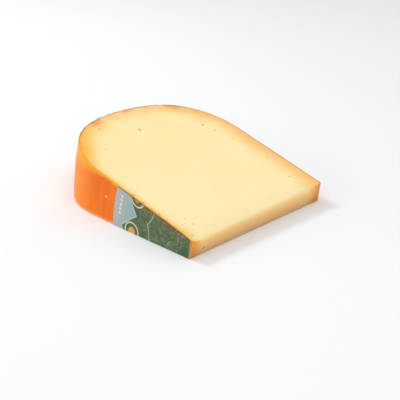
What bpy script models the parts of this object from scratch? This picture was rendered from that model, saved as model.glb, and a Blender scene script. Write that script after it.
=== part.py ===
"""A wedge cut from a wheel of semi-hard cheese, lying on one of its long cut faces.

A cheese wheel is a body of revolution, so each piece here starts as a section of the wheel, is spun
part of a turn about the wheel's axis, and is then trimmed by the same three knife cuts: the lower long
cut, which is the face it rests on, the upper long cut, and the short cut that took off the tip.

Frame: metres, +Z up, the origin under the middle of the bounding box. The rounded rim of the wheel is
at -X, the cut tip at +X, and the wheel's axis runs along Y. The printed label is on the -Y side.
"""

import math

import bmesh
import bpy
from mathutils import Matrix, Vector

# The whole wheel, measured over its plastic coat.
WHEEL_RADIUS = 0.1757
WHEEL_HEIGHT = 0.110
ROUNDING_RADIUS = 0.125     # the wheel's two flat faces start to round off at this radius
ROUNDING_POWER = 2.26       # superellipse power of the rounded rim: 2 is an ellipse, more is squarer
FACE_DISH = 0.0014          # how far each flat face is dished where the tip was cut off
DISH_RADIUS = 0.0517

# The knife cuts.
CUT_ANGLE = math.radians(13.4)      # between the two long cuts
AXIS_DROP = 0.0118                  # the long cuts meet this far above the wheel's axis
TIP_DISTANCE = 0.0503               # from the line where they meet to the tip cut, on the lower cut
TIP_LEAN = math.radians(7.0)        # the tip cut overhangs a little
TIP_SKEW = math.radians(1.6)        # and isn't quite square to the wheel's flat faces

# The layers.
COAT_THICKNESS = 0.0008
LABEL_THICKNESS = 0.0003
LABEL_RADIUS = 0.1095               # the round label is concentric with the wheel
GAP = 0.0003                        # between solids that touch

# How finely the curves are divided.
ARC_STEPS = 16                      # along each half of the rounded rim
FLAT_STEPS = 3
SPIN_STEPS = 16

# The spin starts below the lower cut and ends above the upper one, so that the knife trims both ends.
SPIN_FROM = math.radians(1.0)
SPIN_TO = math.radians(31.0)
INNER_RADIUS = 0.040                # inside the tip cut, which trims this end too

# Eyes, the small gas holes: (distance from the line where the cuts meet, across the wheel, length,
# width, depth of the hole's centre under the upper cut), and each one's turn on the face.
EYES = [
    (0.1594, -0.0254, 0.0036, 0.0026, 0.0004, 25),
    (0.1478, -0.0036, 0.0036, 0.0030, 0.0002, -20),
    (0.1346, 0.0371, 0.0044, 0.0024, 0.0003, -50),
    (0.1265, 0.0388, 0.0034, 0.0026, 0.0003, 10),
    (0.0656, 0.0410, 0.0028, 0.0022, 0.0002, 35),
    (0.0573, -0.0430, 0.0046, 0.0018, 0.0001, 30),
]

PASTE_COLOUR = (0.93, 0.77, 0.44, 1.0)
COAT_COLOUR = (0.82, 0.24, 0.03, 1.0)
LABEL_COLOUR = (0.10, 0.14, 0.08, 1.0)

# Where the wheel's axis lies in the part's frame, so that the bounding box is centred on the origin.
LOW_RIM = math.sqrt(WHEEL_RADIUS**2 - AXIS_DROP**2)
TIP_TOP_HEIGHT = TIP_DISTANCE * math.tan(CUT_ANGLE) / (1 + math.tan(CUT_ANGLE) * math.tan(TIP_LEAN))
TIP_CORNER_REACH = math.tan(TIP_LEAN) * TIP_TOP_HEIGHT + math.tan(TIP_SKEW) * WHEEL_HEIGHT / 2
AXIS_X = (LOW_RIM + TIP_DISTANCE - TIP_CORNER_REACH) / 2
FACE_SLOPE = FACE_DISH / (ROUNDING_RADIUS - DISH_RADIUS)
LABEL_PROUD = GAP + LABEL_THICKNESS - FACE_SLOPE * (ROUNDING_RADIUS - LABEL_RADIUS)
AXIS_Y = LABEL_PROUD / 2
MEETING_LINE = Vector((AXIS_X, AXIS_Y, 0.0))
WHEEL_CENTRE = Vector((AXIS_X, AXIS_Y, -AXIS_DROP))

UP_TILTED = Vector((math.sin(CUT_ANGLE), 0.0, math.cos(CUT_ANGLE)))
LOWER_CUT = (MEETING_LINE, Vector((0.0, 0.0, -1.0)))
UPPER_CUT = (MEETING_LINE, UP_TILTED)
TIP_CUT = (
    MEETING_LINE - Vector((TIP_DISTANCE, 0.0, 0.0)),
    Vector((math.cos(TIP_LEAN), math.tan(TIP_SKEW), -math.sin(TIP_LEAN))).normalized(),
)


def clear_scene():
    for obj in list(bpy.data.objects):
        bpy.data.objects.remove(obj)


def face_height(radius):
    """Half the wheel's height where its face is still flat, which is a little less further in."""
    return WHEEL_HEIGHT / 2 - FACE_SLOPE * (ROUNDING_RADIUS - radius)


def half_outline():
    """One half of the wheel's section: (radius, half height) from the inside out to the rim."""
    points = []
    for i in range(FLAT_STEPS):
        radius = INNER_RADIUS + (ROUNDING_RADIUS - INNER_RADIUS) * i / FLAT_STEPS
        points.append(Vector((radius, face_height(radius))))
    power = 2 / ROUNDING_POWER
    for i in range(ARC_STEPS + 1):
        turn = math.pi / 2 * i / ARC_STEPS
        radius = ROUNDING_RADIUS + (WHEEL_RADIUS - ROUNDING_RADIUS) * math.sin(turn) ** power
        points.append(Vector((radius, WHEEL_HEIGHT / 2 * max(math.cos(turn), 0.0) ** power)))
    return points


def outline(inset):
    """The wheel's section from one flat face round the rim to the other, moved in by inset."""
    half = half_outline()
    whole = [Vector((p.x, -p.y)) for p in half] + half[-2::-1]
    moved = []
    for i, point in enumerate(whole):
        before = whole[max(i - 1, 0)]
        after = whole[min(i + 1, len(whole) - 1)]
        along = (after - before).normalized()
        moved.append(point + Vector((-along.y, along.x)) * inset)
    return moved


def label_outline():
    """A thin strip along the flat face at -Y, from the inside out to the label's own edge."""
    inner = face_height(INNER_RADIUS) + GAP
    outer = face_height(LABEL_RADIUS) + GAP
    return [
        Vector((INNER_RADIUS, -inner - LABEL_THICKNESS)),
        Vector((LABEL_RADIUS, -outer - LABEL_THICKNESS)),
        Vector((LABEL_RADIUS, -outer)),
        Vector((INNER_RADIUS, -inner)),
    ]


def cut(bm, plane):
    """Cuts away what lies beyond the plane, as a knife does, and closes the cut face."""
    point, normal = plane
    geometry = bm.verts[:] + bm.edges[:] + bm.faces[:]
    found = bmesh.ops.bisect_plane(
        bm, geom=geometry, dist=1e-7, plane_co=point, plane_no=normal, clear_outer=True
    )
    edges = [item for item in found["geom_cut"] if isinstance(item, bmesh.types.BMEdge)]
    bmesh.ops.edgeloop_fill(bm, edges=edges)


def wheel_slice(section):
    """Spins a section of the wheel about the wheel's axis and makes the three cuts."""
    bm = bmesh.new()
    start = Matrix.Rotation(SPIN_FROM, 3, "Y")
    verts = [
        bm.verts.new(WHEEL_CENTRE + start @ Vector((-point.x, point.y, 0.0))) for point in section
    ]
    face = bm.faces.new(verts)
    bmesh.ops.spin(
        bm,
        geom=[face, *face.edges, *face.verts],
        cent=WHEEL_CENTRE,
        axis=Vector((0.0, 1.0, 0.0)),
        angle=SPIN_TO - SPIN_FROM,
        steps=SPIN_STEPS,
    )
    bmesh.ops.recalc_face_normals(bm, faces=bm.faces[:])
    for plane in (LOWER_CUT, UPPER_CUT, TIP_CUT):
        cut(bm, plane)
    bmesh.ops.recalc_face_normals(bm, faces=bm.faces[:])
    return bm


def material(name, colour, roughness):
    made = bpy.data.materials.new(name)
    made.use_nodes = True
    shader = made.node_tree.nodes["Principled BSDF"]
    shader.inputs["Base Color"].default_value = colour
    shader.inputs["Roughness"].default_value = roughness
    shader.inputs["Metallic"].default_value = 0.0
    return made


def add_object(name, bm, surface):
    mesh = bpy.data.meshes.new(name)
    bm.to_mesh(mesh)
    bm.free()
    obj = bpy.data.objects.new(name, mesh)
    bpy.context.scene.collection.objects.link(obj)
    if surface:
        mesh.materials.append(surface)
        mesh.shade_smooth()
        mesh.set_sharp_from_angle(angle=math.radians(30))
    return obj


def eye_cutters():
    """Small flattened balls, sunk in the upper cut, that leave the eyes when they are cut away."""
    bm = bmesh.new()
    along = Vector((-math.cos(CUT_ANGLE), 0.0, math.sin(CUT_ANGLE)))
    across = Vector((0.0, 1.0, 0.0))
    for distance, side, length, width, depth, turn in EYES:
        centre = MEETING_LINE + along * distance + across * side - UP_TILTED * depth
        place = Matrix.Translation(centre) @ Matrix.Rotation(CUT_ANGLE, 4, "Y")
        place @= Matrix.Rotation(math.radians(turn), 4, "Z")
        size = Matrix.Diagonal((length / 2, width / 2, width / 2, 1.0))
        bmesh.ops.create_icosphere(bm, subdivisions=2, radius=1.0, matrix=place @ size)
    cutters = add_object("eye_cutters", bm, None)
    cutters.hide_render = True
    cutters.display_type = "WIRE"
    return cutters


def make_paste():
    bm = wheel_slice(outline(COAT_THICKNESS + GAP))
    paste = add_object("cheese_paste", bm, material("cheese_paste", PASTE_COLOUR, 0.5))
    holes = paste.modifiers.new("eyes", "BOOLEAN")
    holes.operation = "DIFFERENCE"
    holes.solver = "EXACT"
    holes.object = eye_cutters()


def make_coat():
    shell = outline(0.0) + outline(COAT_THICKNESS)[::-1]
    bm = wheel_slice(shell)
    add_object("rind_coat", bm, material("rind_coat", COAT_COLOUR, 0.35))


def make_label():
    bm = wheel_slice(label_outline())
    add_object("wheel_label", bm, material("wheel_label", LABEL_COLOUR, 0.45))


clear_scene()
make_paste()
make_coat()
make_label()
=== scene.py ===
# %% [markdown]
# # A wedge of semi-hard cheese
#
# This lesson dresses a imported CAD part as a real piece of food. The object is a low wedge cut from a
# wheel of orange-coated cheese: pale paste with a darker crust, a glossy plastic coat on the old outside
# of the wheel, and a strip of the wheel's round printed label. Every piece is cut by the same knife, so
# every piece is made by the same recipe: spin a section of the wheel, then cut it with planes.

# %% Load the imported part
import math

import bmesh
import bpy
import numpy as np
from mathutils import Matrix, Vector, noise


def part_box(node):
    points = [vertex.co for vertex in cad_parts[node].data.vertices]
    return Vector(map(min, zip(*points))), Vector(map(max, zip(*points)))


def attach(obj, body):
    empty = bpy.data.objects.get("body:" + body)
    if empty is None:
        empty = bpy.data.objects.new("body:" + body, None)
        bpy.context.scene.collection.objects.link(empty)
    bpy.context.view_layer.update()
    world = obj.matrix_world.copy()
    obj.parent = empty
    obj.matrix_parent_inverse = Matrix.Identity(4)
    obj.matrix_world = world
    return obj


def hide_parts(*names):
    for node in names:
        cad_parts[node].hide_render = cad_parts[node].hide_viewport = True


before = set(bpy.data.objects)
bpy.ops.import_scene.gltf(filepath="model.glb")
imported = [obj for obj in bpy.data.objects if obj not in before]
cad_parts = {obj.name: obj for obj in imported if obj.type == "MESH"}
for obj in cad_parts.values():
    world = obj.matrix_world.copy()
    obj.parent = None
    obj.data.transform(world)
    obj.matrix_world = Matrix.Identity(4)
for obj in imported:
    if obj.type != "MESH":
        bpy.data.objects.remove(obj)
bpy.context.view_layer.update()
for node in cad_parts:
    low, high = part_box(node)
    print(node, [round((b - a) * 1000, 1) for a, b in zip(low, high)], "mm")

# %% [markdown]
# ## The wheel that the wedge came from
#
# Lengths are in metres. A wheel of this cheese is a disc about 35 cm across and 11 cm high, with flat
# faces that round off into the rim. The wedge lies on one long cut, so the wheel's axis is level: it runs
# along Y, a little below the board, out past the cut tip.

# %% The wheel's measures
MM = 0.001
WHEEL_RADIUS = 175.7 * MM
WHEEL_HEIGHT = 110.0 * MM
ROUNDING_RADIUS = 125.0 * MM
ROUNDING_POWER = 2.26
FACE_SLOPE = 1.4 / 73.3
INNER_RADIUS = 40.0 * MM
COAT_THICKNESS = 0.8 * MM
LABEL_THICKNESS = 0.12 * MM
LABEL_RADIUS = 109.5 * MM

# %% The knife cuts
CUT_ANGLE = math.radians(13.4)
AXIS_DROP = 11.8 * MM
TIP_DISTANCE = 50.3 * MM
TIP_LEAN = math.radians(7.0)
TIP_SKEW = math.radians(1.6)
TOP_OF_TIP = TIP_DISTANCE * math.tan(CUT_ANGLE) / (1 + math.tan(CUT_ANGLE) * math.tan(TIP_LEAN))
CORNER_REACH = math.tan(TIP_LEAN) * TOP_OF_TIP + math.tan(TIP_SKEW) * WHEEL_HEIGHT / 2
AXIS_X = (math.sqrt(WHEEL_RADIUS**2 - AXIS_DROP**2) + TIP_DISTANCE - CORNER_REACH) / 2
AXIS_Y = (0.6 * MM - FACE_SLOPE * (ROUNDING_RADIUS - LABEL_RADIUS)) / 2
MEETING_LINE = Vector((AXIS_X, AXIS_Y, 0.0))
WHEEL_CENTRE = Vector((AXIS_X, AXIS_Y, -AXIS_DROP))
UP_TILTED = Vector((math.sin(CUT_ANGLE), 0.0, math.cos(CUT_ANGLE)))
ALONG_CUT = Vector((-math.cos(CUT_ANGLE), 0.0, math.sin(CUT_ANGLE)))
TIP_POINT = MEETING_LINE - Vector((TIP_DISTANCE, 0.0, 0.0))
TIP_OUT = Vector((math.cos(TIP_LEAN), math.tan(TIP_SKEW), -math.sin(TIP_LEAN))).normalized()
DOWN = Vector((0.0, 0.0, -1.0))
print("wheel's axis at", [round(c / MM, 1) for c in WHEEL_CENTRE], "mm")

# %% [markdown]
# ## The outline of the wheel, as a section
#
# Half of the wheel's section is a straight run along the flat face and then a quarter of a superellipse
# round the rim. The points are worked out closely and then spaced evenly, so that the spun skin has even
# quads. The same outline moved inwards gives the inside of the coat and the outside of the paste.

# %% The section
def wheel_section(inset, spacing):
    """Points (radius, across) from one flat face round the rim to the other, moved in by inset."""
    flat = np.linspace(INNER_RADIUS, ROUNDING_RADIUS, 80, endpoint=False)
    turn = np.linspace(0.0, math.pi / 2, 300)
    power = 2 / ROUNDING_POWER
    curved = ROUNDING_RADIUS + (WHEEL_RADIUS - ROUNDING_RADIUS) * np.sin(turn) ** power
    radius = np.concatenate([flat, curved])
    height = np.concatenate([
        WHEEL_HEIGHT / 2 - FACE_SLOPE * (ROUNDING_RADIUS - flat),
        WHEEL_HEIGHT / 2 * np.clip(np.cos(turn), 0.0, 1.0) ** power,
    ])
    radius = np.concatenate([radius, radius[-2::-1]])
    across = np.concatenate([-height, height[-2::-1]])
    along = np.gradient(np.column_stack([radius, across]), axis=0)
    along /= np.linalg.norm(along, axis=1)[:, None]
    radius = radius - along[:, 1] * inset
    across = across + along[:, 0] * inset
    travelled = np.concatenate([[0.0], np.cumsum(np.hypot(np.diff(radius), np.diff(across)))])
    even = np.linspace(0.0, travelled[-1], int(travelled[-1] / spacing) + 1)
    return np.column_stack([np.interp(even, travelled, radius), np.interp(even, travelled, across)])


print("points round the section at 0.8 mm:", len(wheel_section(0.0, 0.8 * MM)))

# %% [markdown]
# ## Spinning and cutting
#
# A wheel of cheese is a body of revolution, so `spin` makes it, and a knife is a plane, so `bisect_plane`
# cuts it. The wedge could be modelled as a block with a curved back instead, but then the paste, the coat
# and the label would each need their own outline, and their ends would not be flush.

# %% Spin a section, then cut it
SPIN_FROM = math.radians(1.0)
SPIN_TO = math.radians(31.0)
# points nearer to a knife's plane than this count as on it, in metres
CUT_TOLERANCE = 1e-7


def cut(bm, point, outward):
    """Takes off what lies beyond a plane, and closes the cut face."""
    geometry = bm.verts[:] + bm.edges[:] + bm.faces[:]
    found = bmesh.ops.bisect_plane(
        bm, geom=geometry, dist=CUT_TOLERANCE, plane_co=point, plane_no=outward, clear_outer=True
    )
    edges = [item for item in found["geom_cut"] if isinstance(item, bmesh.types.BMEdge)]
    bmesh.ops.edgeloop_fill(bm, edges=edges)


def spun_wedge(section, steps):
    """Spins a closed section about the wheel's axis and makes the three knife cuts."""
    bm = bmesh.new()
    start = Matrix.Rotation(SPIN_FROM, 3, "Y")
    ring = [bm.verts.new(WHEEL_CENTRE + start @ Vector((-r, a, 0.0))) for r, a in section]
    face = bm.faces.new(ring)
    bmesh.ops.spin(
        bm,
        geom=[face, *face.edges, *face.verts],
        cent=WHEEL_CENTRE,
        axis=(0.0, 1.0, 0.0),
        angle=SPIN_TO - SPIN_FROM,
        steps=steps,
    )
    bmesh.ops.recalc_face_normals(bm, faces=bm.faces[:])
    cut(bm, MEETING_LINE, DOWN)
    cut(bm, MEETING_LINE, UP_TILTED)
    cut(bm, TIP_POINT, TIP_OUT)
    bmesh.ops.recalc_face_normals(bm, faces=bm.faces[:])
    return bm


# %% [markdown]
# ## Nothing cut by hand is quite flat
#
# A knife drags and turns a little on its way through a cheese, and the thin tip slumps and wears round.
# Every point near a cut face is moved by a rule that depends only on where the point is, so neighbouring
# pieces move together and stay flush. The lower cut stays flat, because the wedge rests on it.

# %% Smooth noise, and a fade with distance
def swell(point, size, seed):
    """Smooth noise from -1 to 1 with features of the given size."""
    return noise.noise(point / size + Vector((seed, seed * 0.7, -seed)))


def fade(distance, reach):
    """1 at the surface, easing to 0 at reach."""
    t = min(max(1 - distance / reach, 0.0), 1.0)
    return t * t * (3 - 2 * t)


print("a fade is", fade(0.0, MM), "at the surface and", fade(MM, MM), "where it ends")

# %% Ripples from the blade
RIPPLE_FROM_TIP = 73 * MM
RIPPLE_ACROSS = -3 * MM
RIPPLE_LENGTH = 20 * MM
RIPPLE_WIDTH = 14 * MM
RIPPLE_SPACING = 4.2 * MM
RIPPLE_SLANT = 0.22
RIPPLE_WANDER = 0.6
WANDER_LENGTH = 16 * MM


def knife_ripple(point):
    """Fine ripples, in one patch of the upper cut, from the blade's stick and slip."""
    from_tip = (point - MEETING_LINE).dot(ALONG_CUT)
    across = point.y - AXIS_Y
    lengthwise = (from_tip - RIPPLE_FROM_TIP) / RIPPLE_LENGTH
    crosswise = (across - RIPPLE_ACROSS) / RIPPLE_WIDTH
    patch = math.exp(-(lengthwise**2 + crosswise**2))
    phase = (across + RIPPLE_SLANT * from_tip) / RIPPLE_SPACING
    phase += RIPPLE_WANDER * swell(point, WANDER_LENGTH, 5.0)
    return patch * math.sin(2 * math.pi * phase)


print("ripples:", round(RIPPLE_SPACING / MM, 1), "mm apart")

# %% The worn tip
WORN_RADIUS = 2.0 * MM
CORNER_RADIUS = 0.5 * MM
SAG_WAY = Vector((0.5, 0.0, -0.8))
SAG_BEHIND_TIP = 9 * MM
SAG_BELOW_CUT = 11 * MM
# in mm across the wheel: how far out the edge is fully round, and over how much it sharpens after that
ROUND_OUT_TO = 40.0
SHARPENS_OVER = 15.0
# (across the wheel, how far the upper edge has slumped), in mm
SLUMP = [
    (-55, 0.0), (-51, 1.3), (-45, 2.2), (-25, 1.9), (-5, 1.8),
    (12, 1.7), (30, 1.4), (45, 1.8), (55, 0.0),
]


def tip_wear(point):
    """The rounding radius and the slump of the tip's upper edge, level with a point."""
    across = (point.y - AXIS_Y) / MM
    slump = float(np.interp(across, [at for at, _ in SLUMP], [far for _, far in SLUMP])) * MM
    roundness = fade(abs(across) - ROUND_OUT_TO, SHARPENS_OVER)
    return CORNER_RADIUS + (WORN_RADIUS - CORNER_RADIUS) * roundness, slump


def worn(point):
    """Where a point of the sharp tip lies on the worn one."""
    radius, slump = tip_wear(point)
    below = (MEETING_LINE - point).dot(UP_TILTED)
    behind_tip = (TIP_POINT - point).dot(TIP_OUT)
    sag = slump * fade(behind_tip, SAG_BEHIND_TIP) * fade(below, SAG_BELOW_CUT)
    moved = point + SAG_WAY * sag
    inwards = radius - below
    backwards = radius - behind_tip
    if inwards > 0.0 and backwards > 0.0:
        pull = 1 - max(inwards, backwards) / math.hypot(inwards, backwards)
        moved -= (UP_TILTED * inwards + TIP_OUT * backwards) * pull
    return moved


# %% Move a point by all of this
# (height, length, seed) of each set of waves that the knife left, lengths in mm
UPPER_WAVES = [(0.16, 32.0, 1.0), (0.05, 7.0, 2.0)]
TIP_WAVES = [(0.25, 30.0, 3.0), (0.12, 5.0, 4.0)]
RIPPLE_HEIGHT = 0.1 * MM
RIM_DROOP = 0.7 * MM
DROOP_REACH = 8 * MM
UPPER_REACH = 4 * MM
TIP_REACH = 6 * MM
BOARD_HOLD = 2 * MM
FOOT_SHARE = 0.4


def waves(point, layers):
    """The height of some sets of waves at a point."""
    return sum(height * swell(point, length * MM, seed) for height, length, seed in layers) * MM


def cut_by_hand(point):
    """Where a point of the exact wedge lies on the real one."""
    below = (MEETING_LINE - point).dot(UP_TILTED)
    behind_tip = (TIP_POINT - point).dot(TIP_OUT)
    inside_rim = WHEEL_RADIUS - math.hypot(point.x - AXIS_X, point.z + AXIS_DROP)
    upper = waves(point, UPPER_WAVES) + RIPPLE_HEIGHT * knife_ripple(point)
    upper -= RIM_DROOP * fade(inside_rim, DROOP_REACH)
    off_board = min(max(point.z, 0.0) / BOARD_HOLD, 1.0)
    moved = worn(point) + UP_TILTED * (upper * fade(below, UPPER_REACH) * off_board)
    tip_share = fade(behind_tip, TIP_REACH) * (FOOT_SHARE + (1 - FOOT_SHARE) * off_board)
    moved += TIP_OUT * (waves(point, TIP_WAVES) * tip_share)
    moved.z = max(moved.z, 0.0)
    return moved


middle_of_edge = TIP_POINT + Vector((math.tan(TIP_LEAN), 0.0, 1.0)) * TOP_OF_TIP
worn_back = (cut_by_hand(middle_of_edge) - middle_of_edge).length
print("the tip's edge wears back", round(worn_back / MM, 2), "mm")

# %% [markdown]
# ## The paste: a finely divided solid
#
# The broad cut faces come out of `edgeloop_fill` as single faces with no points to move, so the solid is
# scored with parallel `bisect_plane` cuts a millimetre apart, and a little closer up the tip's face. It
# could be subdivided or remeshed instead, but scoring keeps the outline exact and the knife's edges sharp.

# %% Score the solid
SCORE_TOLERANCE = 0.005 * MM
SHARP_TURN = math.radians(35)


def score(bm, axis, places):
    """Divides every face along planes across an axis, without taking anything away."""
    across = Vector([float(axis == i) for i in range(3)])
    for at in places:
        geometry = bm.verts[:] + bm.edges[:] + bm.faces[:]
        bmesh.ops.bisect_plane(
            bm, geom=geometry, dist=SCORE_TOLERANCE, plane_co=across * at, plane_no=across
        )


def as_object(name, bm):
    """Makes a mesh object at the origin, smooth except where the surface turns sharply."""
    mesh = bpy.data.meshes.new(name)
    bm.to_mesh(mesh)
    bm.free()
    mesh.shade_smooth()
    mesh.set_sharp_from_angle(angle=SHARP_TURN)
    piece = bpy.data.objects.new(name, mesh)
    bpy.context.scene.collection.objects.link(piece)
    return piece


# the paste goes a hair into the coat, so that no gap shows between them
PASTE_INSET = COAT_THICKNESS - 0.05 * MM
SCORE_SPACING = 1.0 * MM
TIP_SPACING = 0.8 * MM
FIRST_UP_TIP = 0.6 * MM
bm = spun_wedge(wheel_section(PASTE_INSET, SCORE_SPACING), 16)
for axis in (0, 1):
    low = min(vert.co[axis] for vert in bm.verts)
    high = max(vert.co[axis] for vert in bm.verts)
    score(bm, axis, np.arange(low + SCORE_SPACING, high - 0.4 * SCORE_SPACING, SCORE_SPACING))
score(bm, 2, np.arange(FIRST_UP_TIP, TOP_OF_TIP, TIP_SPACING))
for vert in bm.verts:
    vert.co = cut_by_hand(vert.co)
bmesh.ops.recalc_face_normals(bm, faces=bm.faces[:])
print("paste:", len(bm.faces), "faces")
paste = as_object("paste", bm)

# %% [markdown]
# ## Eyes
#
# Eyes are the small holes left by gas while the cheese ripened. The knife opened a few of them. Each is a
# squashed ball with an uneven surface, taken out of the paste with a Boolean, so it has a real rim and a
# real shadow. The faint specks are smaller and flatter: tears rather than bubbles.

# %% Where the eyes are
# (from the meeting line, across the wheel, length, width, centre's depth, turn in degrees), in mm
EYES = [
    (159.4, -25.2, 3.6, 2.4, -0.75, 20),
    (148.1, -3.4, 3.3, 2.5, -0.6, -25),
    (134.7, 36.9, 3.2, 2.2, -0.65, -55),
    (126.5, 38.8, 2.8, 2.2, -0.7, 10),
    (65.5, 41.3, 2.2, 1.6, -0.35, 35),
    (58.8, -42.9, 3.4, 1.1, -0.2, 28),
    (113.0, 42.5, 2.0, 0.9, -0.2, -50),
    (86.9, 44.4, 1.6, 0.9, -0.2, 60),
    (64.4, -43.5, 1.3, 0.8, -0.1, 10),
    (90.0, -47.5, 1.5, 0.7, -0.1, 30),
    (96.9, -47.5, 1.3, 0.7, -0.1, -20),
    (52.8, -49.2, 1.3, 0.8, 0.0, 0),
    (139.0, -37.0, 1.2, 0.7, -0.1, 70),
    (104.0, -18.0, 1.1, 0.5, -0.1, 15),
    (81.0, 21.0, 1.2, 0.5, -0.1, -30),
    (60.8, -48.8, 1.1, 0.6, -0.05, 20),
    (70.5, -46.5, 1.3, 0.6, -0.05, -10),
    (75.8, -48.6, 1.0, 0.6, -0.05, 40),
    (83.0, -44.8, 1.1, 0.5, -0.05, 15),
    (101.5, -49.3, 1.3, 0.6, -0.05, 25),
    (107.5, -48.6, 1.0, 0.5, -0.05, -35),
    (112.0, -45.5, 1.2, 0.5, -0.05, 5),
]
# (across the wheel, up from the board, then the same as the others)
TIP_EYE = (-43.5, 3.4, 3.2, 2.2, -0.1, 30)
LUMP_SIZE = 1.1 * MM


def ball(bm, place, length, width, tallness=1.1, lumps=0.16):
    """Adds one lumpy, squashed ball, as an eye for the Boolean to take away or as a shred of coat."""
    size = Matrix.Diagonal((length / 2, width / 2, width / 2 * tallness, 1.0))
    made = bmesh.ops.create_icosphere(bm, subdivisions=3, radius=1.0, matrix=place @ size)
    centre = place.translation
    for vert in made["verts"]:
        vert.co = centre + (vert.co - centre) * (1 + lumps * swell(vert.co, LUMP_SIZE, 9.0))


def eye(bm, surface_point, outward, angle, length, width, depth, turn):
    """Adds an eye's ball at a point of a cut face, turned on the face and sunk by depth (all in mm)."""
    centre = surface_point - outward * depth * MM
    place = Matrix.Translation(centre) @ Matrix.Rotation(angle, 4, "Y")
    ball(bm, place @ Matrix.Rotation(math.radians(turn), 4, "Z"), length * MM, width * MM)
    return surface_point, outward, length * MM


# %% Cut the eyes
bm = bmesh.new()
mouths = []
for along, across, *shape in EYES:
    on_cut = MEETING_LINE + ALONG_CUT * along * MM + Vector((0.0, across * MM, 0.0))
    mouths.append(eye(bm, cut_by_hand(on_cut), UP_TILTED, CUT_ANGLE, *shape))
across, up, *shape = TIP_EYE
on_tip = TIP_POINT + Vector((0.0, across * MM, up * MM))
on_tip += TIP_OUT * (TIP_POINT - on_tip).dot(TIP_OUT)
mouths.append(eye(bm, cut_by_hand(on_tip), TIP_OUT, math.pi / 2, *shape))
cutters = as_object("eye_cutters", bm)

holes = paste.modifiers.new("eyes", "BOOLEAN")
holes.operation = "DIFFERENCE"
holes.solver = "EXACT"
holes.object = cutters
evaluated = paste.evaluated_get(bpy.context.evaluated_depsgraph_get())
opened = bpy.data.meshes.new_from_object(evaluated)
paste.modifiers.clear()
paste.data = opened
bpy.data.objects.remove(cutters)
print("paste with its eyes:", len(opened.polygons), "faces")

# %% [markdown]
# ## Colours and numbers kept on the mesh
#
# Colours are written as the hex values of a paint chart, so one function turns them into the linear
# values that Blender mixes. What changes slowly over a piece, such as how dry the paste is, is worked out
# once for each point and kept on the mesh as an attribute. A material reads it back by its name.

# %% Tools for attributes
def hex_colour(code):
    """Linear colour of an sRGB hex code."""
    parts = [int(code[i : i + 2], 16) / 255 for i in (1, 3, 5)]
    linear = [c / 12.92 if c <= 0.04045 else ((c + 0.055) / 1.055) ** 2.4 for c in parts]
    return (*linear, 1.0)


def points_of(mesh):
    """The mesh's points as rows of three numbers."""
    flat = np.empty(len(mesh.vertices) * 3)
    mesh.vertices.foreach_get("co", flat)
    return flat.reshape(-1, 3)


def store(mesh, name, values):
    """Keeps a number, or three, for each point of the mesh, for its material to read."""
    kind, field = ("FLOAT", "value") if values.ndim == 1 else ("FLOAT_VECTOR", "vector")
    mesh.attributes.new(name, kind, "POINT").data.foreach_set(field, values.ravel())


def behind(points, on_plane, outward):
    """How far each point lies behind a plane, in metres."""
    return (np.array(on_plane) - points) @ np.array(outward)


def ease(values, low, high):
    """0 up to low, 1 from high on, and a smooth rise between them."""
    t = np.clip((values - low) / (high - low), 0.0, 1.0)
    return t * t * (3 - 2 * t)


def under_skin(points, spacing=0.5 * MM, batch=4000):
    """How deep each point lies under the wheel's skin, and how far round the section from one face."""
    skin = wheel_section(0.0, spacing)
    radius = np.hypot(points[:, 0] - AXIS_X, points[:, 2] + AXIS_DROP)
    across = points[:, 1] - AXIS_Y
    depth = np.empty(len(points))
    run = np.empty(len(points))
    for first in range(0, len(points), batch):
        some = slice(first, first + batch)
        gaps = np.hypot(radius[some, None] - skin[:, 0], across[some, None] - skin[:, 1])
        depth[some] = gaps.min(axis=1)
        run[some] = gaps.argmin(axis=1) * spacing
    return depth, run


def swells(points, size, seed):
    """The smooth noise at each point."""
    return np.array([swell(Vector(point), size, seed) for point in points])


print("#FFFFFF is", hex_colour("#FFFFFF"), "as a linear colour")


# %% [markdown]
# ## The crust
#
# The paste dries and darkens towards the old outside of the wheel. The browned layer is thin beside the
# label, which sealed the face, and up to 15 mm deep elsewhere. Its depth is measured from the wheel's
# skin, with noise on two scales, so that it has no ruled edge. It could be a separate solid, but it is the
# same cheese and has no surface of its own.

# %% How deep the crust goes
SEALED_REACH = 5 * MM
OPEN_REACH = 15 * MM
NEAR_TIP_EXTRA = 3 * MM
UNEVEN_LENGTH = 9 * MM
FRAY_LENGTH = 1.7 * MM
FRAY_DEPTH = 0.8 * MM
points = points_of(opened)
x, y, _ = points.T
depths = under_skin(points)[0]
far_side = ease(y, -46 * MM, 12 * MM)
rim = ease(-x, 8 * MM, 32 * MM)
back_of_rim = rim * (1 - ease(np.abs(y), 22 * MM, 46 * MM))
near_reach = SEALED_REACH + (OPEN_REACH - SEALED_REACH) * rim + NEAR_TIP_EXTRA * ease(x, 40 * MM, 62 * MM)
reach = near_reach + (OPEN_REACH - near_reach) * far_side
uneven = 1 + 0.25 * swells(points, UNEVEN_LENGTH, 31.0)
share = (depths + FRAY_DEPTH * swells(points, FRAY_LENGTH, 37.0)) / (reach * uneven)
print("deepest paste:", round(depths.max() / MM, 1), "mm under the rind")
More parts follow.
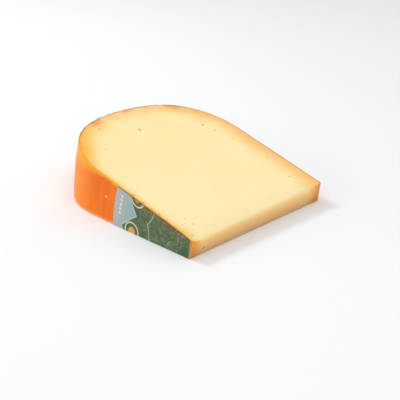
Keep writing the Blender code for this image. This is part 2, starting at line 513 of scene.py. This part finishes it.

# %% [markdown]
# ## How the crust tints the paste
#
# Each list gives the tint from the skin, at 0, to where the crust ends, at 1. It is golden at the rim on
# the label's side, tan round the back and down the far side, faint where the label sealed it, and a deeper
# orange where the cut tip shows the crust end on. The knife also smeared a little of the coat on the cut.
# Painted shade darkens the back of the rim a little, and one side of the knife's ripples.

# %% The tints
GOLDEN = [
    (0.0, "#F0B040"), (0.05, "#F4BC4A"), (0.1, "#F3C25A"), (0.17, "#FACB66"), (0.25, "#F9D27A"),
    (0.35, "#FBDA86"), (0.47, "#FFE39C"), (0.6, "#FEEFC6"), (0.75, "#FFF6DC"), (1.0, "#FFFFFF"),
]
TAN = [
    (0.0, "#DFB890"), (0.05, "#E8C8A0"), (0.1, "#EFCFA8"), (0.17, "#F8D6B0"),
    (0.33, "#FBDDB8"), (0.47, "#FBE6C4"), (0.6, "#FEEFD2"), (0.73, "#FFF6E0"), (1.0, "#FFFFFF"),
]
SEALED = [(0.0, "#EFCB82"), (0.12, "#F6DAA0"), (0.3, "#FBE4BA"), (0.5, "#FCF0D6"), (1.0, "#FFFFFF")]
END_ON = [(0.0, "#F0B85C"), (0.3, "#F4C474"), (0.5, "#F6D69C"), (0.75, "#FAECCC"), (1.0, "#FFFFFF")]
# where the knife smeared some of the coat on the cut: (from the meeting line, across, reach), in mm
SMEARS = [(166.5, -22.5, 4.5), (170.5, 4.0, 2.6), (161.0, 35.0, 3.2)]
SMEAR_TINT = np.array(hex_colour("#F2BC9C")[:3])
SMEAR_STRENGTH = 1.6
THICKEST_SMEAR = 0.7
STREAK_LENGTH = 2.4 * MM


def tint(stops, share):
    """The colour of each share along a list of (place, hex code), as rows of three numbers."""
    places = [place for place, _ in stops]
    colours = np.array([hex_colour(code)[:3] for _, code in stops])
    return np.column_stack([np.interp(share, places, colours[:, i]) for i in range(3)])


print("a quarter of the way in, the golden crust is", tint(GOLDEN, np.array([0.25])).round(2)[0])

# %% Tint the crust
PALER_PATCH = 4 * MM
# how much painted shade darkens the back of the rim and one side of the knife's ripples
BACK_PAINTED_SHADE = 0.04
RIPPLE_PAINTED_SHADE = 0.035
# how deep the crust shows end on, at the label's side, and how much more at the far side, in mm
END_REACH = 7.5
END_REACH_MORE = 3.5
browned = tint(GOLDEN, share) * (rim * (1 - far_side))[:, None]
browned += tint(SEALED, share) * ((1 - rim) * (1 - far_side))[:, None]
browned += tint(TAN, share) * far_side[:, None]
paler = back_of_rim * (0.3 + 0.3 * swells(points, PALER_PATCH, 35.0))
browned += (1 - browned) * paler[:, None]
ripples = np.array([max(knife_ripple(Vector(point)), 0.0) for point in points])
ripples *= behind(points, MEETING_LINE, UP_TILTED) < MM
# painted shade: a little darker at the back of the rim, and along the raised half of each ripple
painted_shade = 1 - BACK_PAINTED_SHADE * rim * far_side * (1 - ease(share, 0.2, 1.2))
painted_shade *= 1 - RIPPLE_PAINTED_SHADE * ripples
browned *= painted_shade[:, None]
streaks = 0.5 + swells(points, STREAK_LENGTH, 33.0)
for along, across, size in SMEARS:
    middle = np.array(MEETING_LINE + ALONG_CUT * along * MM + Vector((0.0, across * MM, 0.0)))
    smeared = np.exp(-((np.linalg.norm(points - middle, axis=1) / (size * MM)) ** 2))
    amount = np.clip(smeared * SMEAR_STRENGTH * streaks, 0.0, THICKEST_SMEAR)[:, None]
    browned *= 1 + (SMEAR_TINT - 1) * amount
store(opened, "crust_tint", browned)
end_reach = (END_REACH + END_REACH_MORE * far_side) * MM
store(opened, "end_tint", tint(END_ON, depths / (end_reach * uneven)))
print("darkest crust:", browned.min(axis=0).round(2))

# %% Mark the walls of the eyes for painted shade
# an eye's wall lies near its mouth, within this many of its lengths, and gets painted shade, darker on the
# way down
NEAR_EYE = 0.8
DARKENS_OVER = 0.6 * MM
eye_painted_shade = np.zeros(len(points))
for mouth, outward, length in mouths:
    near = np.linalg.norm(points - np.array(mouth), axis=1) < length * NEAR_EYE
    eye_painted_shade[near] = np.clip(behind(points[near], mouth, outward) / DARKENS_OVER - 0.1, 0.0, 1.0)
store(opened, "eye_painted_shade", eye_painted_shade)
print("points on the walls of eyes:", int((eye_painted_shade > 0.2).sum()))

# %% [markdown]
# ## Small tools for materials
#
# Node trees are long to write out socket by socket, so one function adds any node with its settings and
# its links. It gives the node's outputs, ready to link to the next one.

# %% Add a node
def fill(node, inputs):
    """Sets a node's sockets, by name or number, to values, or links them to other nodes' outputs."""
    for name, value in inputs.items():
        if isinstance(value, bpy.types.NodeSocket):
            node.id_data.links.new(value, node.inputs[name])
        else:
            node.inputs[name].default_value = value


def add(tree, kind, inputs, **settings):
    """Adds a node with its settings and links, and gives its outputs."""
    node = tree.nodes.new(kind)
    for name, value in settings.items():
        setattr(node, name, value)
    fill(node, inputs)
    return node.outputs


def new_material(name):
    """A material, its node tree and the shader that the tree starts with."""
    made = bpy.data.materials.new(name)
    made.use_nodes = True
    return made, made.node_tree, made.node_tree.nodes["Principled BSDF"]


# %% [markdown]
# ## Young aged cheese, freshly cut
#
# The paste is milk fat and protein pressed into a close, waxy body. Light goes a few millimetres into it
# and comes out warmer, which softens its edges. A clean knife leaves it satin, with a thin film of fat,
# and faint clouds where the curds knitted. The tip's face is painted a darker gold than the upper cut, as
# painted shade, and darker still towards the board.

# %% The plain paste
surface, tree, shader = new_material("semi_hard_cheese_cut")
where = add(tree, "ShaderNodeTexCoord", {})["Object"]
place = add(tree, "ShaderNodeSeparateXYZ", {0: where})
clouds = []
# the real grain is finer than 1.6 mm, and is drawn as coarse as it needs to be to show
for size, detail in ((26 * MM, 2.0), (1.6 * MM, 4.0)):
    inputs = {"Vector": where, "Scale": 1 / size, "Detail": detail, "Roughness": 0.55}
    clouds.append(add(tree, "ShaderNodeTexNoise", inputs)[0])
curds, grain = clouds
cream = hex_colour("#FFE6AE")
# (what decides, where the colour starts, where it is full, how much of it, colour)
for measure, low, high, amount, colour in (
    (place["X"], 45 * MM, -50 * MM, 1.0, "#FFE2A4"),
    (curds, 0.35, 0.65, 0.45, "#FFE9B8"),
    (grain, 0.3, 0.7, 0.25, "#FBDB9C"),
):
    inputs = {0: measure, 1: low, 2: high, 4: amount}
    cover = add(tree, "ShaderNodeMapRange", inputs, interpolation_type="SMOOTHSTEP")[0]
    cream = add(tree, "ShaderNodeMix", {0: cover, 6: cream, 7: hex_colour(colour)}, data_type="RGBA")[2]

# %% The tip's face, in painted shade
# painted shade: the face turned towards the tip gets a darker gold than the upper cut
normal = add(tree, "ShaderNodeNewGeometry", {})["Normal"]
facing = add(tree, "ShaderNodeSeparateXYZ", {0: normal})["X"]
inputs = {0: facing, 1: 0.65, 2: 0.99}
upright = add(tree, "ShaderNodeMapRange", inputs, interpolation_type="SMOOTHSTEP")[0]
print("nodes so far:", len(tree.nodes))
tip_painted_shade = hex_colour("#C6A478")
# (from, to, colour): up the tip's face from the board, in mm; painted shade, darker towards the board
for low, high, colour in (
    (0.5, 2.0, "#DBB078"),
    (2.0, 4.0, "#EEB972"),
    (4.0, 6.0, "#F6C276"),
    (6.0, 9.0, "#F8D086"),
):
    risen = add(tree, "ShaderNodeMapRange", {0: place["Z"], 1: low * MM, 2: high * MM})[0]
    inputs = {0: risen, 6: tip_painted_shade, 7: hex_colour(colour)}
    tip_painted_shade = add(tree, "ShaderNodeMix", inputs, data_type="RGBA")[2]

# %% Crust, eyes and the shader
tinted = []
for colour, name in ((cream, "crust_tint"), (tip_painted_shade, "end_tint")):
    browning = add(tree, "ShaderNodeAttribute", {}, attribute_name=name)["Vector"]
    inputs = {0: 1.0, 6: colour, 7: browning}
    tinted.append(add(tree, "ShaderNodeMix", inputs, data_type="RGBA", blend_type="MULTIPLY")[2])
body = add(tree, "ShaderNodeMix", {0: upright, 6: tinted[0], 7: tinted[1]}, data_type="RGBA")[2]
# painted shade on the eyes' walls, darker on the way down
eye_painted_shade = add(tree, "ShaderNodeAttribute", {}, attribute_name="eye_painted_shade")["Fac"]
body = add(tree, "ShaderNodeMix", {0: eye_painted_shade, 6: body, 7: hex_colour("#D6B068")}, data_type="RGBA")[2]
satin = add(tree, "ShaderNodeMapRange", {0: grain, 1: 0.3, 2: 0.7, 3: 0.4, 4: 0.52})[0]
bumps = add(tree, "ShaderNodeBump", {"Strength": 0.25, "Distance": 0.15 * MM, "Height": grain})[0]
fill(shader, {
    "Base Color": body,
    "Roughness": satin,
    "Normal": bumps,
    "IOR": 1.45,
    "Subsurface Weight": 0.3,
    "Subsurface Radius": (1.0, 0.5, 0.2),
    "Subsurface Scale": 2.0 * MM,
})
opened.materials.clear()
opened.materials.append(surface)
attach(paste, "root")
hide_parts("cheese_paste")
print("paste material:", len(tree.nodes), "nodes")

# %% [markdown]
# ## The coat
#
# The wheel is brushed with a liquid plastic that dries to a tough skin under a millimetre thick. The
# brush leaves strokes from face to face, and the skin dries in shallow dents, with one blister. The knife
# tore its upper edge in places and dragged a few shreds off it. It could be the paste's own skin in
# another colour, but then the cuts would not show how thick it is, so it is spun as a thin shell between
# two outlines and moved as a whole. The shreds are flattened, lumpy balls that lie on the cut.

# %% The coat's unevenness
# (height, length, seed) of each set of waves, lengths in mm
STROKES = [(0.07, 7.0, 11.0), (0.025, 2.6, 12.0)]
DENTS = [(0.14, 26.0, 13.0)]
BLISTER = MEETING_LINE + Vector((-113.5 * MM, -WHEEL_HEIGHT / 2, 15.2 * MM))
BLISTER_RADIUS = 0.9 * MM
BLISTER_HEIGHT = 0.35 * MM
STROKE_SPREAD = 12 * MM


def outward_from_wheel(point):
    """The direction straight out of the wheel's skin, near enough."""
    radius = math.hypot(point.x - AXIS_X, point.z + AXIS_DROP)
    away = Vector((point.x - AXIS_X, 0.0, point.z + AXIS_DROP)) / radius
    across = (point.y - AXIS_Y) / (WHEEL_HEIGHT / 2)
    over = max(radius - ROUNDING_RADIUS, 0.0) / (WHEEL_RADIUS - ROUNDING_RADIUS)
    sideways = Vector((0.0, across, 0.0)) * abs(across) ** (ROUNDING_POWER - 2)
    return (away * over ** (ROUNDING_POWER - 1) + sideways).normalized()


def brushed(point, run):
    """How far the coat stands proud at a point, in metres; run is how far round the section it is."""
    turned = math.atan2(point.z + AXIS_DROP, AXIS_X - point.x)
    stroke = Vector((run, 0.0, turned * STROKE_SPREAD))
    blister = BLISTER_HEIGHT * math.exp(-((point - BLISTER).length / BLISTER_RADIUS) ** 2)
    return waves(stroke, STROKES) + waves(point, DENTS) + blister


# %% The coat's torn edge
TEAR_LENGTH = 3.0 * MM
LIFT_LENGTH = 2.2 * MM
TORN_BELOW_CUT = 1.4 * MM
TORN_RIM = 34 * MM


def torn_edge(point):
    """Where the knife tore the coat's upper edge instead of slicing it, most of all round the rim."""
    below = (MEETING_LINE - point).dot(UP_TILTED)
    rim = fade(point.x - (AXIS_X - WHEEL_RADIUS), TORN_RIM)
    tear = max(swell(point, TEAR_LENGTH, 21.0) - 0.12, 0.0) * (0.35 + 1.5 * rim)
    lift = swell(point, LIFT_LENGTH, 22.0) * (0.06 + 0.22 * rim)
    return UP_TILTED * ((lift - tear) * MM * fade(below, TORN_BELOW_CUT))


print("torn down to", round(TORN_BELOW_CUT / MM, 1), "mm below the cut")


# %% Put the unevenness on a skin
# the skin's own points lie no deeper than this, and most of a shred's lie deeper and aren't brushed
SKIN_REACH = 1.1 * COAT_THICKNESS


def finish_skin(bm):
    """Gives a skin of the wheel its brushed surface, its torn edge and the wobble of the cuts."""
    bm.verts.ensure_lookup_table()
    places = np.array([vert.co[:] for vert in bm.verts])
    depths, runs = under_skin(places)
    for vert, depth, run in zip(bm.verts, depths, runs):
        if depth < SKIN_REACH:
            vert.co += outward_from_wheel(vert.co) * brushed(vert.co, float(run)) + torn_edge(vert.co)
        vert.co = cut_by_hand(vert.co)
    return depths, runs


print("the blister is at", [round(c / MM, 1) for c in BLISTER], "mm")

# %% Shreds that the knife dragged off the coat
# (from the meeting line, across the wheel, length, width, turn in degrees), in mm
SHREDS = [
    (167.7, -24.5, 4.6, 1.0, -66), (168.9, -19.5, 3.8, 0.8, -72), (166.2, -22.3, 2.2, 0.7, -50),
    (164.9, -27.6, 2.0, 0.7, -58), (171.3, 7.0, 3.4, 0.7, 84), (168.6, 18.5, 2.4, 0.6, 74),
    (163.3, 32.0, 3.0, 0.8, 58), (160.3, 37.0, 2.0, 0.6, 50),
    (61.5, -53.2, 1.7, 0.7, 12), (68.0, -53.3, 2.4, 0.6, -8), (74.5, -53.1, 1.4, 0.8, 20),
    (80.0, -53.4, 2.0, 0.6, -14), (87.0, -53.3, 1.5, 0.7, 5), (95.5, -53.4, 2.2, 0.6, 10),
]
SHRED_LIFT = 0.12 * MM
print("shreds:", len(SHREDS))

# %% Spin and cut the coat
FINER_ROUND_BLISTER = 2.6 * MM
outer = wheel_section(0.0, 0.6 * MM)
inner = wheel_section(COAT_THICKNESS, 0.6 * MM)
bm = spun_wedge(np.concatenate([outer, inner[::-1]]), 40)
near_blister = [
    edge for edge in bm.edges
    if min((vert.co - BLISTER).length for vert in edge.verts) < FINER_ROUND_BLISTER
]
bmesh.ops.subdivide_edges(bm, edges=near_blister, cuts=3, use_grid_fill=True)
for along, across, length, width, turn in SHREDS:
    on_cut = MEETING_LINE + ALONG_CUT * along * MM + Vector((0.0, across * MM, 0.0))
    lifted = Matrix.Translation(on_cut + UP_TILTED * SHRED_LIFT)
    lying = lifted @ Matrix.Rotation(CUT_ANGLE, 4, "Y") @ Matrix.Rotation(math.radians(turn), 4, "Z")
    ball(bm, lying, length * MM, width * MM, tallness=0.3, lumps=0.7)
depths, runs = finish_skin(bm)
print("coat:", len(bm.faces), "faces, with its shreds")
coat = as_object("plastic_coat", bm)

# %% What the coat's material reads
points = points_of(coat.data)
x, y, z = points.T
from_blister = np.linalg.norm(points - np.array(BLISTER), axis=1)
STROKE_SQUEEZE = 0.12
SHRED_FROM = COAT_THICKNESS + 0.2 * MM
for name, values in {
    "brushing": np.column_stack([runs, STROKE_SQUEEZE * z, 0.0 * z]),
    "below_cut": behind(points, MEETING_LINE, UP_TILTED),
    "rimward": ease(-x, 0.0, 34 * MM) * (1 - ease(y, -10 * MM, 40 * MM)),
    # where the blister's painted highlight goes
    "blister": np.exp(-((from_blister / MM) ** 2)),
    "ragged": np.maximum(ease(-x, 30 * MM, 54 * MM), 0.15 * ease(y, 0.0, 40 * MM)),
    "shred": ease(depths, COAT_THICKNESS, SHRED_FROM),
    "at_tip": 1 - ease(behind(points, TIP_POINT, TIP_OUT), 0.2 * MM, 1.2 * MM),
}.items():
    store(coat.data, name, values)
    print(name, "from", round(float(values.min()), 4), "to", round(float(values.max()), 4))

# %% [markdown]
# ## Plastic coat, brushed on and dried
#
# The dry coat is a clear, tough film full of orange pigment. Thin places show the paste, so they are
# yellower, and thick ones are redder. Its polish comes from drying in air, not from a mould, so it is
# glossy but never mirror-like: the shader is rough plastic under a thin smoother coat. Where the knife
# went through, the edge is golden and thin, and torn to brown at the back of the rim.

# %% The coat's patterns
surface, tree, shader = new_material("plastic_dispersion_coat")
where = add(tree, "ShaderNodeTexCoord", {})["Object"]
brushing = add(tree, "ShaderNodeAttribute", {}, attribute_name="brushing")["Vector"]
read = {}
for name in ("below_cut", "rimward", "blister", "ragged", "shred", "at_tip"):
    read[name] = add(tree, "ShaderNodeAttribute", {}, attribute_name=name)["Fac"]
patterns = []
for along, size in ((brushing, 6 * MM), (where, 12 * MM), (where, 2.5 * MM)):
    inputs = {"Vector": along, "Scale": 1 / size, "Detail": 3.0, "Roughness": 0.58}
    patterns.append(add(tree, "ShaderNodeTexNoise", inputs)[0])
bands, mottle, scuffs = patterns
print("patterns of the coat:", len(patterns))

# %% How near the cut, and how torn
inputs = {0: scuffs, 1: 0.3, 2: 0.7, 3: -0.5 * MM, 4: 0.5 * MM}
scuffed = add(tree, "ShaderNodeMapRange", inputs)[0]
from_cut = add(tree, "ShaderNodeMath", {0: read["below_cut"], 1: scuffed}, operation="ADD")[0]
torn = add(tree, "ShaderNodeMix", {0: read["ragged"], 2: 0.0, 3: scuffs})[0]
inputs = {0: read["below_cut"], 1: 1.2 * MM, 2: 0.2 * MM}
on_edge = add(tree, "ShaderNodeMapRange", inputs)[0]
thin_from = add(tree, "ShaderNodeMapRange", {0: read["rimward"], 3: 1.6 * MM, 4: 9.5 * MM})[0]
thin_to = add(tree, "ShaderNodeMapRange", {0: read["rimward"], 3: 0.5 * MM, 4: 3.0 * MM})[0]
place_z = add(tree, "ShaderNodeSeparateXYZ", {0: where})["Z"]
print("nodes so far:", len(tree.nodes))

# %% The coat's colours, laid over each other
orange = hex_colour("#F06C02")
# (what decides, where the colour starts, where it is full, how much of it, colour)
for measure, low, high, amount, colour in (
    (read["rimward"], 0.0, 1.0, 1.0, "#F88A14"),
    (bands, 0.4, 0.65, 0.5, "#FF921A"),
    (mottle, 0.35, 0.7, 0.4, "#F06604"),
    # a painted highlight along the coat's bottom edge
    (place_z, 1.8 * MM, 0.5 * MM, 0.6, "#F4C09A"),
    (from_cut, thin_from, thin_to, 0.9, "#F8A400"),
    # a painted highlight on the blister's top
    (read["blister"], 0.3, 0.8, 1.0, "#FFB08A"),
    (read["below_cut"], 0.7 * MM, 0.1 * MM, 0.9, "#EAAA38"),
    (read["ragged"], 0.0, 1.0, on_edge, "#A8743C"),
    (torn, 0.48, 0.62, on_edge, "#B4603A"),
    (read["shred"], 0.0, 1.0, 1.0, "#E8A468"),
    (read["at_tip"], 0.0, 1.0, 1.0, "#F0982A"),
):
    inputs = {0: measure, 1: low, 2: high, 4: amount}
    cover = add(tree, "ShaderNodeMapRange", inputs, interpolation_type="SMOOTHSTEP")[0]
    orange = add(tree, "ShaderNodeMix", {0: cover, 6: orange, 7: hex_colour(colour)}, data_type="RGBA")[2]
gloss = add(tree, "ShaderNodeMapRange", {0: bands, 1: 0.3, 2: 0.7, 3: 0.28, 4: 0.42})[0]
fill(shader, {
    "Base Color": orange,
    "Roughness": gloss,
    "IOR": 1.48,
    "Specular IOR Level": 0.0,
    "Coat Weight": 0.42,
    "Coat Roughness": 0.22,
})
coat.data.materials.append(surface)
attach(coat, "root")
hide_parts("rind_coat")
print("coat material:", len(tree.nodes), "nodes")

# %% [markdown]
# ## The label
#
# A round printed label is pressed on while the coat is still tacky, so it lies in the coat's own dents.
# The knife went through it twice, and the tip cut took its middle. It could be painted on the coat, but a
# real label has an edge, so it is spun as a thin strip of its own.

# %% Spin and cut the label
GLUE_GAP = 0.02 * MM


def label_section(spacing):
    """A thin strip against the flat face on the -Y side, from the inside out to the label's edge."""
    radii = np.linspace(INNER_RADIUS, LABEL_RADIUS, int((LABEL_RADIUS - INNER_RADIUS) / spacing))
    face = WHEEL_HEIGHT / 2 - FACE_SLOPE * (ROUNDING_RADIUS - radii)
    back = np.column_stack([radii, -face - GLUE_GAP])
    front = np.column_stack([radii, -face - GLUE_GAP - LABEL_THICKNESS])
    return np.concatenate([front, back[::-1]])


bm = spun_wedge(label_section(0.6 * MM), 40)
finish_skin(bm)
print("label:", len(bm.faces), "faces")
label = as_object("round_label", bm)

# %% What the label's material reads
points = points_of(label.data)
x, _, z = points.T
store(label.data, "angle", np.arctan2(z + AXIS_DROP, AXIS_X - x))
store(label.data, "radius", np.hypot(x - AXIS_X, z + AXIS_DROP))
store(label.data, "below_cut", behind(points, MEETING_LINE, UP_TILTED))
store(label.data, "behind_tip", behind(points, TIP_POINT, TIP_OUT))

# %% [markdown]
# ## Printed paper
#
# The label is offset-printed paper with a thin varnish, so its inks are flat and a little shiny. The print
# is a plain ornament made for this lesson: a blue-grey band with a pointed inner edge, scallops on green,
# small discs and dots, and faint contour lines. It could be drawn with a curve for each line, but the
# ornament repeats round the wheel, so it is worked out once, from distances, on an angle that is folded
# back and forth like paper. Fat from the cut has stained its upper edge.

# %% The label's folded angle
POINT_ANGLE = math.radians(14.5)
HALF_REPEAT = math.radians(6.65)
BEAD_ANGLE = math.radians(0.75)
BEAD_RUN_ANGLE = math.radians(3.35)
surface, tree, shader = new_material("printed_label_paper")
where = add(tree, "ShaderNodeTexCoord", {})["Object"]
read = {}
for name in ("angle", "radius", "below_cut", "behind_tip"):
    read[name] = add(tree, "ShaderNodeAttribute", {}, attribute_name=name)["Fac"]
folds = {}
for name, first, repeat in (
    ("ornament", POINT_ANGLE, HALF_REPEAT),
    ("beads", POINT_ANGLE - BEAD_ANGLE, BEAD_ANGLE),
):
    shifted = add(tree, "ShaderNodeMath", {0: read["angle"], 1: first}, operation="SUBTRACT")[0]
    folded = add(tree, "ShaderNodeMath", {0: shifted, 1: repeat}, operation="PINGPONG")[0]
    left = add(tree, "ShaderNodeMath", {0: repeat, 1: folded}, operation="SUBTRACT")[0]
    sideways = add(tree, "ShaderNodeMath", {0: left, 1: read["radius"]}, operation="MULTIPLY")[0]
    folds[name] = (folded, sideways)
print("the ornament repeats every", round(math.degrees(2 * HALF_REPEAT), 1), "degrees")

# %% Distances that the print is drawn with
SCALLOP_CENTRES = 97.5 * MM
BADGE_CENTRES = 94.0 * MM
BEAD_RING = 104.6 * MM
BAND_POINTS = 91.7 * MM
BAND_HOLLOWS = 102.5 * MM
distances = []
for name, ring in (("ornament", SCALLOP_CENTRES), ("ornament", BADGE_CENTRES), ("beads", BEAD_RING)):
    outwards = add(tree, "ShaderNodeMath", {0: read["radius"], 1: ring}, operation="SUBTRACT")[0]
    spot = add(tree, "ShaderNodeCombineXYZ", {0: folds[name][1], 1: outwards})[0]
    distances.append(add(tree, "ShaderNodeVectorMath", {0: spot}, operation="LENGTH")["Value"])
scallop, badge, bead = distances
folded = folds["ornament"][0]
inputs = {0: folded, 2: HALF_REPEAT, 3: BAND_POINTS, 4: BAND_HOLLOWS}
edge_of_band = add(tree, "ShaderNodeMapRange", inputs)[0]
past_edge = add(tree, "ShaderNodeMath", {0: read["radius"], 1: edge_of_band}, operation="SUBTRACT")[0]
# the beads come in short runs, each one across a point of the band
inputs = {0: folded, 1: BEAD_RUN_ANGLE}
between_runs = add(tree, "ShaderNodeMath", inputs, operation="GREATER_THAN")[0]
bead = add(tree, "ShaderNodeMath", {0: bead, 1: between_runs}, operation="ADD")[0]
print("distances for the print:", len(distances))

# %% The green ground and the band
patterns = []
for size in (5 * MM, 15 * MM, 3.5 * MM):
    inputs = {"Vector": where, "Scale": 1 / size, "Detail": 3.0, "Roughness": 0.55}
    patterns.append(add(tree, "ShaderNodeTexNoise", inputs)[0])
fading, contour, soak = patterns
faded = add(tree, "ShaderNodeMapRange", {0: fading, 1: 0.35, 2: 0.65})[0]
inputs = {0: faded, 6: hex_colour("#455A36"), 7: hex_colour("#5B6D47")}
print_colour = add(tree, "ShaderNodeMix", inputs, data_type="RGBA")[2]
aged = add(tree, "ShaderNodeMapRange", {0: read["radius"], 1: 94 * MM, 2: 108 * MM})[0]
inputs = {0: aged, 6: hex_colour("#8CAEB6"), 7: hex_colour("#B2B6AE")}
band_colour = add(tree, "ShaderNodeMix", inputs, data_type="RGBA")[2]
print("nodes so far:", len(tree.nodes))

# %% Fat soaked in from the cut
inputs = {0: soak, 1: 0.3, 2: 0.7, 3: -2.0 * MM, 4: 2.0 * MM}
ragged = add(tree, "ShaderNodeMapRange", inputs)[0]
stained = add(tree, "ShaderNodeMath", {0: read["below_cut"], 1: ragged}, operation="ADD")[0]
cover = add(tree, "ShaderNodeMapRange", {0: stained, 1: 4.6 * MM, 2: 0.2 * MM, 4: 0.85})[0]
inputs = {0: soak, 6: hex_colour("#4C3C1A"), 7: hex_colour("#9C7C34")}
stain = add(tree, "ShaderNodeMix", inputs, data_type="RGBA")[2]
print_colour = add(tree, "ShaderNodeMix", {0: cover, 6: print_colour, 7: stain}, data_type="RGBA")[2]
print("nodes so far:", len(tree.nodes))

# %% The printed inks
CONTOUR_WIDTH = 0.0035
CONTOUR_INK = hex_colour("#82987A")
# (how to compare, the distance, with what, half the line's width, ink)
for operation, measure, value, tolerance, ink in (
    ("COMPARE", contour, 0.42, CONTOUR_WIDTH, CONTOUR_INK),
    ("COMPARE", contour, 0.50, CONTOUR_WIDTH, CONTOUR_INK),
    ("COMPARE", contour, 0.58, CONTOUR_WIDTH, CONTOUR_INK),
    ("COMPARE", scallop, 17.3 * MM, 0.25 * MM, hex_colour("#A9B59C")),
    ("COMPARE", badge, 5.2 * MM, 0.4 * MM, hex_colour("#D8D2B4")),
    ("LESS_THAN", badge, 2.6 * MM, 0.0, hex_colour("#D9A441")),
    ("GREATER_THAN", past_edge, 0.0, 0.0, band_colour),
    ("COMPARE", past_edge, 0.0, 0.3 * MM, hex_colour("#C9CFC6")),
    ("LESS_THAN", bead, 1.0 * MM, 0.0, hex_colour("#D9D8CC")),
):
    inputs = {0: measure, 1: value, 2: tolerance}
    printed = add(tree, "ShaderNodeMath", inputs, operation=operation)[0]
    print_colour = add(tree, "ShaderNodeMix", {0: printed, 6: print_colour, 7: ink}, data_type="RGBA")[2]

# %% Stains, wear and the shader
# (what decides, where the colour starts, where it is full, how much of it, colour)
for measure, low, high, amount, ink in (
    (read["below_cut"], 0.9 * MM, 0.3 * MM, 0.7, "#54431E"),
    (read["behind_tip"], 0.9 * MM, 0.4 * MM, 0.45, "#C9BE9C"),
):
    inputs = {0: measure, 1: low, 2: high, 4: amount}
    cover = add(tree, "ShaderNodeMapRange", inputs, interpolation_type="SMOOTHSTEP")[0]
    inputs = {0: cover, 6: print_colour, 7: hex_colour(ink)}
    print_colour = add(tree, "ShaderNodeMix", inputs, data_type="RGBA")[2]
fill(shader, {"Base Color": print_colour, "Roughness": 0.4, "Specular IOR Level": 0.3})
label.data.materials.append(surface)
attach(label, "root")
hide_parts("wheel_label")
print("label material:", len(tree.nodes), "nodes")

# %% [markdown]
# ## Floor, light and camera
#
# A pale floor and a white surround give most of the light. A small key light from the rim's side throws a
# soft shadow past the tip, a light from beyond the tip brightens the upper cut and the tip's face, and a
# large weak one fills the label's side. The camera looks down at the corner between the label and the tip.

# %% The floor
bm = bmesh.new()
# a tenth of a millimetre down, so that it doesn't share a plane with the cut that the wedge rests on
just_below = Matrix.Translation((0.0, 0.0, -0.1 * MM))
bmesh.ops.create_grid(bm, x_segments=1, y_segments=1, size=6.0, matrix=just_below)
floor = as_object("floor", bm)
surface, tree, shader = new_material("pale_floor")
fill(shader, {"Base Color": hex_colour("#EEF0F2"), "Roughness": 0.9})
floor.data.materials.append(surface)
print("floor:", [round(side, 1) for side in floor.dimensions[:2]], "m")

# %% The lights
SURROUND_STRENGTH = 0.70
world = bpy.data.worlds.new("studio")
world.use_nodes = True
surround = {"Color": (1.0, 1.0, 1.0, 1.0), "Strength": SURROUND_STRENGTH}
fill(world.node_tree.nodes["Background"], surround)
bpy.context.scene.world = world


def soft_light(name, place, size, watts):
    """A square area light aimed at the wedge."""
    lamp = bpy.data.lights.new(name, "AREA")
    lamp.shape = "SQUARE"
    lamp.size = size
    lamp.energy = watts
    light = bpy.data.objects.new(name, lamp)
    light.location = place
    light.rotation_mode = "QUATERNION"
    light.rotation_quaternion = (-Vector(place)).to_track_quat("-Z", "Y")
    bpy.context.scene.collection.objects.link(light)
    print(name, "light:", watts, "W")


soft_light("key", (-0.70, -0.15, 0.70), 0.25, 3.4)
soft_light("tip", (0.55, -0.15, 0.90), 0.40, 2.2)
soft_light("fill", (-0.55, -0.95, 0.35), 0.50, 1.3)

# %% The camera
CAMERA_PLACE = Vector((0.36996, -0.34883, 0.21729))
CAMERA_TARGET = Vector((0.01670, -0.00110, 0.00317))
CAMERA_ROLL = math.radians(0.455)
lens = bpy.data.cameras.new("camera")
lens.lens = 83.9
lens.sensor_width = 36.0
lens.clip_start = 0.01
lens.clip_end = 50.0
camera = bpy.data.objects.new("camera", lens)
camera.location = CAMERA_PLACE
camera.rotation_mode = "QUATERNION"
look = (CAMERA_TARGET - CAMERA_PLACE).to_track_quat("-Z", "Y")
camera.rotation_quaternion = look @ Matrix.Rotation(CAMERA_ROLL, 3, "Z").to_quaternion()
bpy.context.scene.collection.objects.link(camera)
bpy.context.scene.camera = camera
bpy.context.scene.view_settings.view_transform = "Standard"
print("the camera is", round((CAMERA_TARGET - CAMERA_PLACE).length, 3), "m away")
